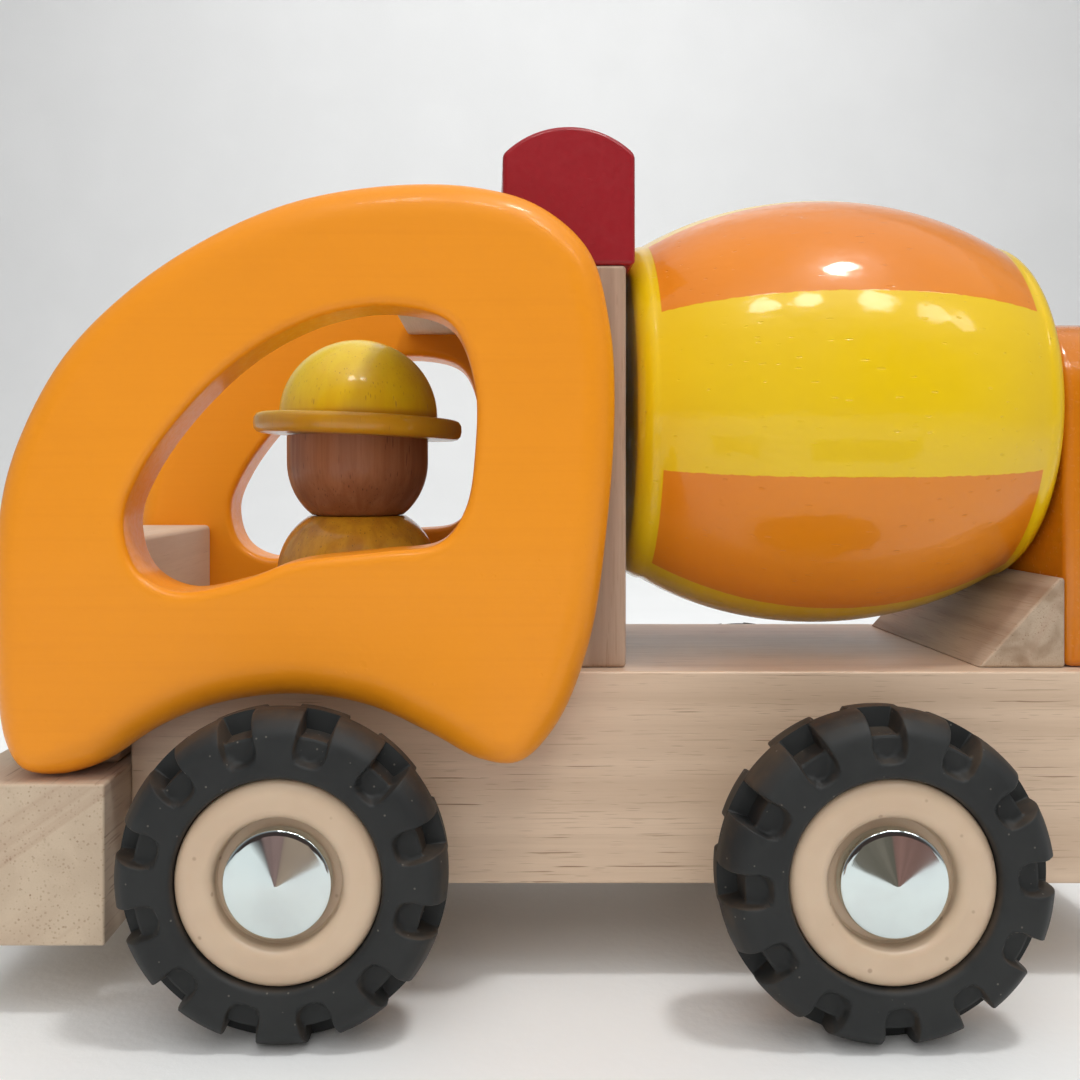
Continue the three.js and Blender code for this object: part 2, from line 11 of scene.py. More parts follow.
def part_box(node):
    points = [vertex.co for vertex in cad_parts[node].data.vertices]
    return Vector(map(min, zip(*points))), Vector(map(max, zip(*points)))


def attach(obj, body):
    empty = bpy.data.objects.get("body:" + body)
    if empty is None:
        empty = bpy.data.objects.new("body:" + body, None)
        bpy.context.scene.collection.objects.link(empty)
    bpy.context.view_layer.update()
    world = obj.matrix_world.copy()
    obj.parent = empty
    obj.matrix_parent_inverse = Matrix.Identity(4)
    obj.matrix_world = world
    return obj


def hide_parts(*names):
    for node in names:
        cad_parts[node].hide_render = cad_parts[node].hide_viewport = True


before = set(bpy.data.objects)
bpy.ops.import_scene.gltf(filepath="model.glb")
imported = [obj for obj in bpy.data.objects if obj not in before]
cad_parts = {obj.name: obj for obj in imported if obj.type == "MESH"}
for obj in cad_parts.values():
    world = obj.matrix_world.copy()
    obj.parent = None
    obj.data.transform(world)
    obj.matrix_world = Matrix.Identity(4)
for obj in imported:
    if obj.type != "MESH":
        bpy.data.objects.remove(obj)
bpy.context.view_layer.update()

MM = 0.001
ORIGIN = (0, 0, 0)
SIDES = {"left": -1, "right": 1}
AXLES = {"front": 15.8, "rear": 2.6}
TREAD_PITCH = 30
WELD_DISTANCE = 0.001
# How far a board's flat face reaches in past its rounded edge before it is filled.
FLAT_MARGIN = 0.6
CURVE_STEPS = 16


# ---------------------------------------------------------------- mesh code

def node_box(node):
    """Lowest and highest corner of a CAD node in millimetres."""
    low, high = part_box(node)
    return low / MM, high / MM


def piece(name, bm, look, body, nodes, sharp=40):
    """Makes one finished object of bm. It rides on body and stands for nodes."""
    bmesh.ops.recalc_face_normals(bm, faces=bm.faces)
    for face in bm.faces:
        face.smooth = True
    for edge in bm.edges:
        if edge.is_manifold and edge.calc_face_angle() > math.radians(sharp):
            edge.smooth = False
    bmesh.ops.scale(bm, vec=(MM, MM, MM), verts=bm.verts)
    mesh = bpy.data.meshes.new(name)
    bm.to_mesh(mesh)
    bm.free()
    obj = bpy.data.objects.new(name, mesh)
    bpy.context.collection.objects.link(obj)
    mesh.materials.append(look)
    shading = obj.modifiers.new("shading", "WEIGHTED_NORMAL")
    shading.keep_sharp = True
    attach(obj, body)
    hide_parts(*nodes)
    return obj


def ring(bm, points):
    return [bm.verts.new(p) for p in points]


def skin(bm, rings):
    """Joins closed rings of the same length with quads."""
    for a, b in zip(rings, rings[1:]):
        for i in range(len(a)):
            j = (i + 1) % len(a)
            bm.faces.new((a[i], a[j], b[j], b[i]))


def arc(centre, across, up, start, end, steps):
    """Points of an ellipse between two angles in degrees."""
    angles = np.radians(np.linspace(start, end, steps + 1))
    return [(centre[0] + across * math.cos(a), centre[1] + up * math.sin(a)) for a in angles]


def lathe(profile, centre, axis, segments=112, outward=1):
    """Turns (radius, along) pairs about an axis through centre. A radius of 0 closes the end."""
    bm = bmesh.new()
    angles = np.linspace(0, 2 * math.pi, segments, endpoint=False)
    rings = []
    for radius, along in profile:
        along *= outward
        if radius == 0:
            rings.append(bm.verts.new(axis_point(axis, 0, 0, along, centre)))
            continue
        circle = [(radius * math.cos(a), radius * math.sin(a)) for a in angles]
        rings.append(ring(bm, [axis_point(axis, u, v, along, centre) for u, v in circle]))
    for a, b in zip(rings, rings[1:]):
        if isinstance(a, list) and isinstance(b, list):
            skin(bm, [a, b])
            continue
        pole, loop = (a, b) if isinstance(b, list) else (b, a)
        for i, vert in enumerate(loop):
            bm.faces.new((pole, vert, loop[(i + 1) % len(loop)]))
    return bm


def axis_point(axis, u, v, along, centre):
    """A point at (u, v) across the axis and along it."""
    x, y, z = {"x": (along, u, v), "y": (u, along, v), "z": (u, v, along)}[axis]
    return Vector((x + centre[0], y + centre[1], z + centre[2]))


def prism(outline, axis, low, high, ease, steps=3, angle=25):
    """An outline pulled along an axis, with its edges rounded by ease."""
    bm = bmesh.new()
    ends = []
    for along in (low, high):
        ends.append(ring(bm, [axis_point(axis, u, v, along, ORIGIN) for u, v in outline]))
    skin(bm, ends)
    for end in ends:
        bm.faces.new(end)
    bmesh.ops.recalc_face_normals(bm, faces=bm.faces)
    edges = [e for e in bm.edges if e.calc_face_angle() > math.radians(angle)]
    bmesh.ops.bevel(bm, geom=edges, offset=ease, segments=steps, profile=0.5, affect="EDGES",
                    clamp_overlap=True)
    return bm


def block(node, ease, steps=3):
    """A board with eased edges that fills a CAD node's box."""
    low, high = node_box(node)
    corners = [(low.x, low.z), (high.x, low.z), (high.x, high.z), (low.x, high.z)]
    return prism(corners, "y", low.y, high.y, ease, steps)


def smooth_loop(points, spacing):
    """A closed centripetal curve through points, cut into even steps of about spacing."""
    points = [np.array(p, float) for p in points]
    count = len(points)
    dense = []
    for i in range(count):
        p0, p1, p2, p3 = (points[(i + k - 1) % count] for k in range(4))
        t = [0.0]
        for a, b in ((p0, p1), (p1, p2), (p2, p3)):
            t.append(t[-1] + np.linalg.norm(b - a) ** 0.5)
        for s in np.linspace(t[1], t[2], CURVE_STEPS, endpoint=False):
            a1 = (t[1] - s) / (t[1] - t[0]) * p0 + (s - t[0]) / (t[1] - t[0]) * p1
            a2 = (t[2] - s) / (t[2] - t[1]) * p1 + (s - t[1]) / (t[2] - t[1]) * p2
            a3 = (t[3] - s) / (t[3] - t[2]) * p2 + (s - t[2]) / (t[3] - t[2]) * p3
            b1 = (t[2] - s) / (t[2] - t[0]) * a1 + (s - t[0]) / (t[2] - t[0]) * a2
            b2 = (t[3] - s) / (t[3] - t[1]) * a2 + (s - t[1]) / (t[3] - t[1]) * a3
            dense.append((t[2] - s) / (t[2] - t[1]) * b1 + (s - t[1]) / (t[2] - t[1]) * b2)
    dense = np.array(dense + dense[:1])
    lengths = np.r_[0, np.cumsum(np.linalg.norm(np.diff(dense, axis=0), axis=1))]
    marks = np.linspace(0, lengths[-1], int(lengths[-1] / spacing), endpoint=False)
    return np.stack([np.interp(marks, lengths, dense[:, k]) for k in range(2)], axis=1)


def inset_loops(loop, radius, tightest=0.8):
    """A function of inset that moves a closed loop inwards, less where it bends too tightly."""
    ahead, behind = np.roll(loop, -1, axis=0), np.roll(loop, 1, axis=0)
    tangent = ahead - behind
    tangent /= np.linalg.norm(tangent, axis=1)[:, None]
    area = np.sum(loop[:, 0] * ahead[:, 1] - loop[:, 1] * ahead[:, 0])
    inward = np.stack([-tangent[:, 1], tangent[:, 0]], axis=1) * np.sign(area)
    step = np.linalg.norm(ahead - behind, axis=1) / 2
    turn = np.sum((np.roll(inward, -1, axis=0) - np.roll(inward, 1, axis=0)) * tangent, axis=1)
    bend = np.clip(-turn / (2 * step), 1e-6, None)
    share = np.minimum(1, tightest / bend / radius)
    reach = int(radius / step.mean())
    share = np.min([np.roll(share, k) for k in range(-reach, reach + 1)], axis=0)
    for _ in range(reach):
        share = (np.roll(share, 1) + share + np.roll(share, -1)) / 3
    return lambda inset: loop + inward * (inset * share)[:, None]


def rounded_rings(bm, loop, faces, radius, spread, steps):
    """Rings from a board's front face to its back, round a loop whose edges are rounded."""
    front, back = faces
    inset = inset_loops(loop, radius)
    turn = [(radius * (1 - math.sin(a)), radius * (1 - math.cos(a)))
            for a in np.radians(np.linspace(0, 90, steps + 1))]
    flat = radius + FLAT_MARGIN
    levels = [(flat, front)] + [(away, front + deep) for away, deep in turn]
    levels += [(deep, back - away) for away, deep in turn] + [(flat, back)]
    return [ring(bm, [(x, y, z) for x, z in inset(spread * away)]) for away, y in levels]


def loop_edges(verts):
    """The edges between each vertex of a closed ring and the next."""
    edges = []
    for vert, after in zip(verts, verts[1:] + verts[:1]):
        edges += [edge for edge in vert.link_edges if edge.other_vert(vert) is after]
    return edges


def welded(bm):
    """bm with the points that lie on each other joined."""
    bmesh.ops.remove_doubles(bm, verts=bm.verts, dist=WELD_DISTANCE)
    return bm


# ---------------------------------------------------------------- node code

class Look:
    """A procedural material and short ways to add its nodes."""

    def __init__(self, name, **shader):
        self.material = bpy.data.materials.new(name)
        self.material.use_nodes = True
        self.tree = self.material.node_tree
        self.shader = self.tree.nodes["Principled BSDF"]
        self.set(**shader)
        self.place = self.node("ShaderNodeTexCoord").outputs["Object"]

    def set(self, **sockets):
        for name, value in sockets.items():
            self.feed(self.shader.inputs[name.replace("_", " ")], value)

    def feed(self, socket, value):
        if isinstance(value, bpy.types.NodeSocket):
            self.tree.links.new(value, socket)
        else:
            socket.default_value = value

    def node(self, kind, inputs=None, **settings):
        made = self.tree.nodes.new(kind)
        for name, value in settings.items():
            setattr(made, name, value)
        for name, value in (inputs or {}).items():
            self.feed(made.inputs[name], value)
        return made

    def math(self, operation, *values):
        return self.node("ShaderNodeMath", dict(enumerate(values)), operation=operation).outputs[0]

    def vector_math(self, operation, first, second):
        inputs = {0: first, 1: second}
        return self.node("ShaderNodeVectorMath", inputs, operation=operation).outputs[0]

    def axes(self, vector):
        return self.node("ShaderNodeSeparateXYZ", {0: vector}).outputs

    def stretched(self, scale, shift=ORIGIN):
        """Object coordinates times scale, so that 1000 gives one cell per millimetre."""
        inputs = {"Location": shift, "Scale": scale}
        return self.node("ShaderNodeMapping", {"Vector": self.place, **inputs}).outputs[0]

    def noise(self, vector, detail=2, rough=0.5, distort=0):
        inputs = {"Vector": vector, "Scale": 1, "Detail": detail, "Roughness": rough,
                  "Distortion": distort}
        return self.node("ShaderNodeTexNoise", inputs).outputs["Fac"]

    def cells(self, vector):
        return self.node("ShaderNodeTexVoronoi", {"Vector": vector, "Scale": 1}).outputs

    def specks(self, scale, size, most=1):
        """Round specks, scale of them to the metre: most in a speck and 0 outside."""
        distance = self.cells(self.stretched((scale, scale, scale)))["Distance"]
        return self.ramp(distance, *size, 0, most)

    def ramp(self, value, start, end, low=0, high=1):
        """value from start to end, eased to low to high."""
        inputs = {"Value": value, "From Min": start, "From Max": end, "To Min": low, "To Max": high}
        return self.node("ShaderNodeMapRange", inputs, interpolation_type="SMOOTHSTEP").outputs[0]

    def mix(self, amount, first, second):
        inputs = {0: amount, 6: first, 7: second}
        return self.node("ShaderNodeMix", inputs, data_type="RGBA").outputs[2]

    def bump(self, height, distance, strength):
        inputs = {"Height": height, "Distance": distance * MM, "Strength": strength}
        return self.node("ShaderNodeBump", inputs).outputs[0]


def colour(red, green, blue):
    return (red, green, blue, 1)


def along_across(axis, along, across):
    """Texture scale per metre with one value along the grain and another across it."""
    return tuple(1000 / (along if axis == "xyz"[k] else across) for k in range(3))


def pores(look, axis, length, width, share, shift=ORIGIN):
    """Thin dashes along the grain, and dots where it ends: 1 in a pore and 0 outside."""
    place = look.stretched(along_across(axis, length, width), shift)
    drift = {"Vector": look.stretched(along_across(axis, 12, 3), shift), "Scale": 1}
    wobble = look.node("ShaderNodeTexNoise", drift).outputs["Color"]
    cell = look.cells(look.vector_math("ADD", place, wobble))
    picked = look.node("ShaderNodeSeparateColor", {0: cell["Color"]}).outputs
    chosen = look.math("LESS_THAN", picked[0], share)
    strength = look.math("MULTIPLY", chosen, look.ramp(picked[1], 0, 1, 0.35, 1))
    return look.math("MULTIPLY", look.ramp(cell["Distance"], 0.34, 0.14), strength)


def wood(name, axis, pale, deep, pore, shift, rough=0.6, hairs=0.34, rings=0.5, slant=None,
         pore_size=1):
    """Bare hardwood: soft bands, fibres and dark hairlines along the grain. slant is the angle
    in degrees of the growth rings across it, and hairs the share of pores that show."""
    look = Look(name, IOR=1.5, Sheen_Weight=0.15, Sheen_Roughness=0.5)
    drift = look.noise(look.stretched(along_across(axis, 260, 40), shift), 1)
    rings_place = look.vector_math("ADD", look.stretched(along_across(axis, 220, 7), shift), drift)
    bands = look.noise(rings_place, 3, 0.55, 0.4)
    fibre = look.noise(look.stretched(along_across(axis, 11, 0.3), shift), 3, 0.7)
    patches = look.noise(look.stretched(along_across(axis, 40, 9), shift), 2)
    long_hairs = pores(look, axis, 24, 0.55 * pore_size, hairs, shift)
    short_hairs = pores(look, axis, 6, 0.42 * pore_size, hairs * 0.8, shift)
    base = look.mix(look.ramp(bands, 0.34, 0.66, 0, rings), pale, deep)
    base = look.mix(look.ramp(fibre, 0.42, 0.8, 0, 0.4), base, deep)
    if slant is not None:
        tilt = {"Vector": look.place, "Rotation": (0, math.radians(slant), 0)}
        tilted = look.node("ShaderNodeMapping", tilt).outputs[0]
        stretch = look.node("ShaderNodeMapping", {"Vector": tilted, "Scale": (10, 4, 170)})
        growth = look.noise(stretch.outputs[0], 3, 0.6, 0.6)
        base = look.mix(look.ramp(growth, 0.48, 0.72, 0, 0.5), base, RING_WOOD)
    crowd = look.ramp(patches, 0.35, 0.62, 0.25, 1)
    for dashes, depth in ((short_hairs, 0.35), (long_hairs, 0.78)):
        shown = look.math("MULTIPLY", look.math("MULTIPLY", dashes, crowd), depth)
        base = look.mix(shown, base, pore)
    look.set(Base_Color=base, Roughness=look.ramp(fibre, 0.3, 0.8, rough - 0.05, rough + 0.12))
    holes = look.math("ADD", long_hairs, short_hairs)
    height = look.math("SUBTRACT", look.math("MULTIPLY", fibre, 0.35), holes)
    look.set(Normal=look.bump(height, 0.06, 0.5))
    return look.material


def paint(name, tone, shade, axis, rough, coat):
    """Brushed paint on wood: faint grain and pores under it, orange peel and a little dust."""
    look = Look(name, IOR=1.42, Specular_IOR_Level=0.35, Coat_Weight=coat,
                Coat_Roughness=rough * 0.3, Coat_IOR=1.45)
    cloud = look.noise(look.stretched((14, 14, 14)), 2)
    strokes = look.noise(look.stretched(along_across(axis, 60, 0.9)), 2, 0.6)
    peel = look.noise(look.stretched((900, 900, 900)), 2)
    dents = pores(look, axis, 3, 2.4, 0.16)
    specks = look.specks(260, (0.11, 0.04))
    shaded = look.ramp(cloud, 0.3, 0.7, 0, 0.6)
    look.set(Base_Color=look.mix(look.math("ADD", shaded, look.ramp(strokes, 0.4, 0.8, 0, 0.3)),
                                 tone, shade))
    look.set(Roughness=look.ramp(peel, 0.3, 0.7, rough - 0.05, rough + 0.08))
    height = look.math("MULTIPLY", strokes, 0.35)
    height = look.math("ADD", height, look.math("MULTIPLY", peel, 0.35))
    height = look.math("SUBTRACT", height, look.math("MULTIPLY", dents, 0.5))
    height = look.math("ADD", height, look.math("MULTIPLY", specks, 0.5))
    surface = look.bump(height, 0.09, 0.6)
    look.set(Normal=surface, Coat_Normal=surface)
    return look.material


def drum_paint():
    """Yellow gloss with eight equal sectors, of which every other one is an orange patch."""
    look = Look("drum_gloss", IOR=1.4, Specular_IOR_Level=0.3, Coat_Weight=0.8,
                Coat_Roughness=0.09, Coat_IOR=1.42)
    low, high = node_box("drum")
    middle = (low + high) / 2
    axes = look.axes(look.place)
    forward = look.math("MULTIPLY", axes["Y"], -1)
    height = look.math("SUBTRACT", axes["Z"], middle.z * MM)
    along = look.math("SUBTRACT", axes["X"], middle.x * MM)
    angle = look.math("ARCTAN2", height, forward)
    turned_angle = look.math("SUBTRACT", angle, math.radians(FIRST_PATCH_ANGLE))
    wave = look.math("SINE", look.math("MULTIPLY", turned_angle, PATCH_COUNT))
    reach = look.math("DIVIDE", along, PATCH_HALF_LENGTH * MM)
    narrowing = look.math("MULTIPLY", look.math("POWER", reach, 2), PATCH_NARROWING)
    brush = look.noise(look.stretched((500, 500, 500)), 2)
    ragged = look.ramp(brush, 0.3, 0.7, -0.008, 0.008)
    edge = look.math("ADD", look.math("SUBTRACT", wave, narrowing), ragged)
    across = look.ramp(edge, -0.012, 0.012)
    lengthways = look.ramp(look.math("ABSOLUTE", reach), 1.004, 0.996)
    patch = look.math("MULTIPLY", across, lengthways)
    cloud = look.noise(look.stretched((16, 16, 16)), 2)
    drift = look.ramp(cloud, 0.3, 0.7)
    yellow = look.mix(drift, colour(0.85, 0.57, 0.005), colour(0.79, 0.51, 0.004))
    orange = look.mix(drift, colour(0.8, 0.25, 0.008), colour(0.72, 0.205, 0.006))
    look.set(Base_Color=look.mix(patch, yellow, orange))
    strokes = look.noise(look.stretched(along_across("x", 50, 1.6)), 2, 0.6)
    peel = look.noise(look.stretched((420, 420, 420)), 1)
    dents = pores(look, "x", 3.2, 0.7, 0.1)
    waves = look.noise(look.stretched(along_across("x", 9, 5)), 2)
    look.set(Roughness=look.ramp(peel, 0.3, 0.7, 0.3, 0.4))
    relief = look.math("MULTIPLY", strokes, 0.12)
    relief = look.math("ADD", relief, look.math("MULTIPLY", peel, 0.1))
    relief = look.math("SUBTRACT", relief, look.math("MULTIPLY", dents, 1.2))
    relief = look.math("ADD", relief, look.math("MULTIPLY", waves, 1.5))
    relief = look.math("ADD", relief, look.math("MULTIPLY", patch, 0.25))
    surface = look.bump(relief, 0.13, 0.65)
    look.set(Normal=surface, Coat_Normal=surface)
    return look.material


def stained_wood(name, tone, shade, dash, coat, shift, banding=0.8, brim=None):
    """Stained turned wood with upright grain and thin pores. brim is its tone below HAT_FOLD."""
    axis = "z"
    look = Look(name, IOR=1.5, Coat_Weight=coat, Coat_Roughness=0.1)
    bands = look.noise(look.stretched(along_across(axis, 70, 3.2), shift), 3, 0.6, 0.5)
    fibre = look.noise(look.stretched(along_across(axis, 14, 0.5), shift), 3, 0.7)
    dark = pores(look, axis, 4.5, 0.5, 0.3, shift)
    base = look.mix(look.ramp(bands, 0.35, 0.7, 0, banding), tone, shade)
    base = look.mix(look.ramp(fibre, 0.48, 0.78, 0, banding * 0.6), base, shade)
    if brim is not None:
        height = look.axes(look.place)["Z"]
        base = look.mix(look.ramp(height, *HAT_FOLD, 0, 0.8), base, brim)
    base = look.mix(look.math("MULTIPLY", dark, 0.75), base, dash)
    look.set(Base_Color=base, Roughness=look.ramp(fibre, 0.3, 0.8, 0.4, 0.55))
    height = look.math("SUBTRACT", look.math("MULTIPLY", fibre, 0.25), dark)
    look.set(Normal=look.bump(height, 0.06, 0.6))
    return look.material


def rubber():
    """Dark moulded rubber with fine pitting and brown dust on the tread."""
    look = Look("tyre_rubber", IOR=1.5, Specular_IOR_Level=0.25)
    dust = look.noise(look.stretched((70, 70, 70)), 4, 0.7)
    pits = look.noise(look.stretched((2600, 2600, 2600)), 2)
    facing = look.axes(look.node("ShaderNodeNewGeometry").outputs["Normal"])["Y"]
    flat = look.math("ABSOLUTE", facing)
    tread = look.math("MULTIPLY", look.ramp(flat, 0.8, 0.3), look.ramp(dust, 0.35, 0.7))
    grey = look.mix(look.ramp(dust, 0.3, 0.7), colour(0.02, 0.0215, 0.022),
                    colour(0.029, 0.031, 0.031))
    worn = look.mix(look.math("MULTIPLY", tread, 0.55), grey, colour(0.09, 0.062, 0.04))
    specks = look.specks(420, (0.1, 0.05), most=0.5)
    look.set(Base_Color=look.mix(specks, worn, colour(0.22, 0.2, 0.17)))
    look.set(Roughness=look.ramp(dust, 0.3, 0.7, 0.5, 0.66))
    look.set(Normal=look.bump(pits, 0.03, 0.35))
    return look.material


def rim_plastic():
    """Beige satin moulded plastic with a few pin holes and faint flow marks."""
    look = Look("rim_beige", IOR=1.48, Coat_Weight=0.25, Coat_Roughness=0.2, Subsurface_Weight=0.05,
                Subsurface_Scale=0.002)
    flow = look.noise(look.stretched((60, 60, 60)), 3, 0.6)
    pits = look.specks(210, (0.12, 0.05))
    base = look.mix(look.ramp(flow, 0.3, 0.7), colour(0.63, 0.48, 0.34), colour(0.58, 0.43, 0.3))
    look.set(Base_Color=look.mix(look.math("MULTIPLY", pits, 0.5), base, colour(0.25, 0.15, 0.09)))
    look.set(Roughness=look.ramp(flow, 0.3, 0.7, 0.38, 0.46))
    height = look.math("SUBTRACT", look.math("MULTIPLY", flow, 0.3), pits)
    look.set(Normal=look.bump(height, 0.05, 0.4))
    return look.material


def turned_metal(name, node, tone, rough, pitch):
    """Metal with fine turning lines round a wheel's axis through a CAD node's middle."""
    look = Look(name, Metallic=1.0)
    low, high = node_box(node)
    middle = (low + high) / 2 * MM
    axes = look.axes(look.vector_math("SUBTRACT", look.place, middle))
    squares = look.math("ADD", look.math("POWER", axes["X"], 2), look.math("POWER", axes["Z"], 2))
    radius = look.math("SQRT", squares)
    wobble = look.noise(look.stretched((300, 300, 300)), 2)
    phase = look.math("ADD", look.math("MULTIPLY", radius, 2000 * math.pi / pitch), wobble)
    lines = look.math("SINE", phase)
    smear = look.noise(look.stretched((120, 120, 120)), 3)
    look.set(Base_Color=look.mix(look.ramp(smear, 0.3, 0.75, 0, 0.3), tone,
                                 colour(0.5, 0.52, 0.54)))
    look.set(Roughness=look.ramp(smear, 0.3, 0.7, rough, rough + 0.06))
    look.set(Normal=look.bump(lines, 0.004, 0.12))
    return look.material


# ---------------------------------------------------------------- materials

FIRST_PATCH_ANGLE = 27
PATCH_COUNT = 4
PATCH_HALF_LENGTH = 38.5
PATCH_NARROWING = 0.17
# Heights in metres between which the helmet's dome turns into its brim.
HAT_FOLD = (0.1175, 0.1155)

PALE_WOOD = colour(0.7, 0.53, 0.385)
DEEP_WOOD = colour(0.56, 0.405, 0.28)
PORE_WOOD = colour(0.22, 0.11, 0.05)
RING_WOOD = colour(0.4, 0.25, 0.17)


def natural(name, axis, shift):
    return wood(name, axis, PALE_WOOD, DEEP_WOOD, PORE_WOOD, shift)


deck_wood = wood("rubberwood_long", "x", PALE_WOOD, DEEP_WOOD, PORE_WOOD, (3, 1, 2),
                 rough=0.36, hairs=0.55, rings=0.7)
bumper_wood = wood("rubberwood_across", "y", colour(0.6, 0.48, 0.35), colour(0.5, 0.385, 0.275),
                   PORE_WOOD, (7, 4, 9), hairs=0.6, slant=35, pore_size=1.7)
hood_wood = natural("rubberwood_hood", "y", (1, 8, 5))
roof_wood = natural("rubberwood_roof", "y", (5, 5, 5))
# The wedge's colours are darker than the other boards', partly for its end grain and partly as
# painted shade from the drum above it.
wedge_wood_grain_and_painted_shade = wood("rubberwood_wedge", "y", colour(0.49, 0.38, 0.275), colour(0.29, 0.195, 0.12),
                  PORE_WOOD, (2, 6, 8), hairs=0.5, rings=0.9, slant=60)
dowel_wood = natural("rubberwood_dowel", "x", (9, 2, 4))
panel_wood = wood("edge_wood", "z", colour(0.55, 0.39, 0.28), colour(0.37, 0.25, 0.175),
                  PORE_WOOD, (4, 7, 1), rough=0.65, hairs=0.8, rings=1.0, pore_size=1.3)
orange_paint = paint("orange_enamel", colour(0.88, 0.305, 0.008), colour(0.83, 0.275, 0.006),
                     "x", rough=0.42, coat=0.22)
# This orange is darker than the cab's enamel as painted shade from the drum, which hangs over the
# board.
drum_shaded_support_paint = paint("orange_enamel_gloss", colour(0.63, 0.19, 0.006),
                      colour(0.57, 0.165, 0.005), "y", rough=0.2, coat=0.7)
red_paint = paint("red_enamel", colour(0.33, 0.009, 0.017), colour(0.29, 0.0075, 0.013),
                  "y", rough=0.4, coat=0.3)
drum_look = drum_paint()
yellow_stain = stained_wood("yellow_stain", colour(0.7, 0.37, 0.02), colour(0.52, 0.23, 0.014),
                            colour(0.25, 0.1, 0.01), coat=0.8, shift=(3, 9, 1))
hat_stain = stained_wood("hat_stain", colour(0.88, 0.64, 0.004), colour(0.8, 0.51, 0.004),
                         colour(0.5, 0.26, 0.01), coat=0.6, shift=(6, 2, 7), banding=0.45,
                         brim=colour(0.55, 0.26, 0.01))
head_wood = stained_wood("head_wood", colour(0.37, 0.165, 0.075), colour(0.26, 0.1, 0.04),
                         colour(0.06, 0.02, 0.008), coat=0.15, shift=(8, 3, 2))
tyre_look = rubber()
rim_look = rim_plastic()
axle_look = turned_metal("axle_steel", "front_axle", colour(0.6, 0.6, 0.6), rough=0.3, pitch=0.4)


# ---------------------------------------------------------------- bodywork

CAB_OUTLINE = [
    (-102.7, 44.5), (-109, 45.7), (-112.6, 51.2), (-114.2, 60.3), (-114.6, 73.9), (-114, 93.3),
    (-110.9, 106.9), (-101.9, 124.4), (-88.7, 137.9), (-72.6, 148.4), (-56.3, 155), (-37, 158),
    (-21.4, 157.4), (-9.8, 153.8), (-0.4, 145.3), (3.6, 131.3), (4.6, 116.7), (3.2, 93.3),
    (-0.3, 70), (-6.7, 54), (-13.9, 46.9), (-21.4, 47.4), (-31.2, 52.5), (-42.8, 57.7),
    (-56.5, 59.9), (-71, 58.3), (-82.7, 53.9), (-94.4, 46.6),
]
WINDOW_OUTLINE = [
    (-88.8, 93.6), (-86.2, 84.2), (-78.7, 80.1), (-66.5, 82.1), (-57.1, 85.5), (-40.2, 87.6),
    (-28.9, 89.3), (-24.2, 95.5), (-22.3, 106.8), (-22.5, 119.9), (-27, 130.8), (-38.3, 134),
    (-51.4, 132.1), (-64.6, 125.6), (-75.9, 115.6), (-85.3, 103),
]
CAB_ROUND = 6.6
WINDOW_ROUND = 1.7


def cab_panel(side):
    """One cab side: a board with well rounded edges round a window with softly eased edges."""
    node = "cab_panel_" + side
    low, high = node_box(node)
    faces = (low.y, high.y)
    bm = bmesh.new()
    outer = rounded_rings(bm, smooth_loop(CAB_OUTLINE, 1.1), faces, CAB_ROUND, 1, 9)
    inner = rounded_rings(bm, smooth_loop(WINDOW_OUTLINE, 0.9), faces, WINDOW_ROUND, -1, 4)
    for rings in (outer, inner):
        skin(bm, rings)
    for end in (0, -1):
        edges = loop_edges(outer[end]) + loop_edges(inner[end])
        bmesh.ops.triangle_fill(bm, edges=edges, use_beauty=True, use_dissolve=False)
    piece("cab_side_" + side, bm, orange_paint, "chassis", [node])


def hood():
    low, high = node_box("hood_block")
    front = low.x
    outline = [(high.x, low.z), (front + 3.6, low.z)]
    outline += [(front + 1.8, low.z + 6), (front + 0.6, low.z + 15), (front, low.z + 26)]
    outline += [(front + 0.15, high.z - 12), (front + 1.4, high.z - 6), (front + 3.1, high.z - 2)]
    outline += [(front + 5.3, high.z), (high.x, high.z)]
    bm = prism(outline, "y", low.y, high.y, 1.2, 3)
    piece("hood", bm, hood_wood, "chassis", ["hood_block"])


def red_block():
    low, high = node_box("roof_block")
    half = (high.x - low.x) / 2
    rise = 5.7
    radius = (half ** 2 + rise ** 2) / (2 * rise)
    angle = math.degrees(math.asin(half / radius))
    crown = arc(((low.x + high.x) / 2, high.z - radius), radius, radius, 90 - angle, 90 + angle, 28)
    outline = [(low.x, low.z), (high.x, low.z)] + crown
    bm = prism(outline, "y", low.y, high.y, 1.3, 4)
    piece("roof_light", bm, red_paint, "chassis", ["roof_block"])


def drum_board():
    """The board behind the drum, with two round shoulders."""
    low, high = node_box("drum_support")
    radius = 18
    top = high.z - radius
    outline = [(low.y, low.z), (high.y, low.z)]
    outline += arc((high.y - radius, top), radius, radius, 0, 90, 16)
    outline += arc((low.y + radius, top), radius, radius, 90, 180, 16)
    bm = prism(outline, "x", low.x, high.x, 1.8, 4)
    piece("drum_board", bm, drum_shaded_support_paint, "chassis", ["drum_support"])


def wedge():
    low, high = node_box("deck_wedge")
    outline = [(low.x, low.z), (high.x, low.z), (high.x, high.z), (high.x - 1.2, high.z)]
    bm = prism(outline, "y", low.y, high.y, 0.8, 3)
    piece("wedge", bm, wedge_wood_grain_and_painted_shade, "chassis", ["deck_wedge"])


# Plain boards: the node each one stands for, how far its edges are rounded, its look and slot.
BOARDS = {
    "deck": ("chassis_block", 0.55, deck_wood, "natural_wood"),
    "bumper": ("front_bumper", 0.55, bumper_wood, "natural_wood"),
    "cab_back": ("back_panel", 0.8, panel_wood, "board_wood"),
    "cab_roof": ("roof_board", 0.8, roof_wood, "natural_wood"),
}

for side in SIDES:
    cab_panel(side)
hood()
red_block()
drum_board()
wedge()
for name, (node, rounding, board_look, slot) in BOARDS.items():
    piece(name, block(node, rounding), board_look, "chassis", [node])


# ---------------------------------------------------------------- drum and driver

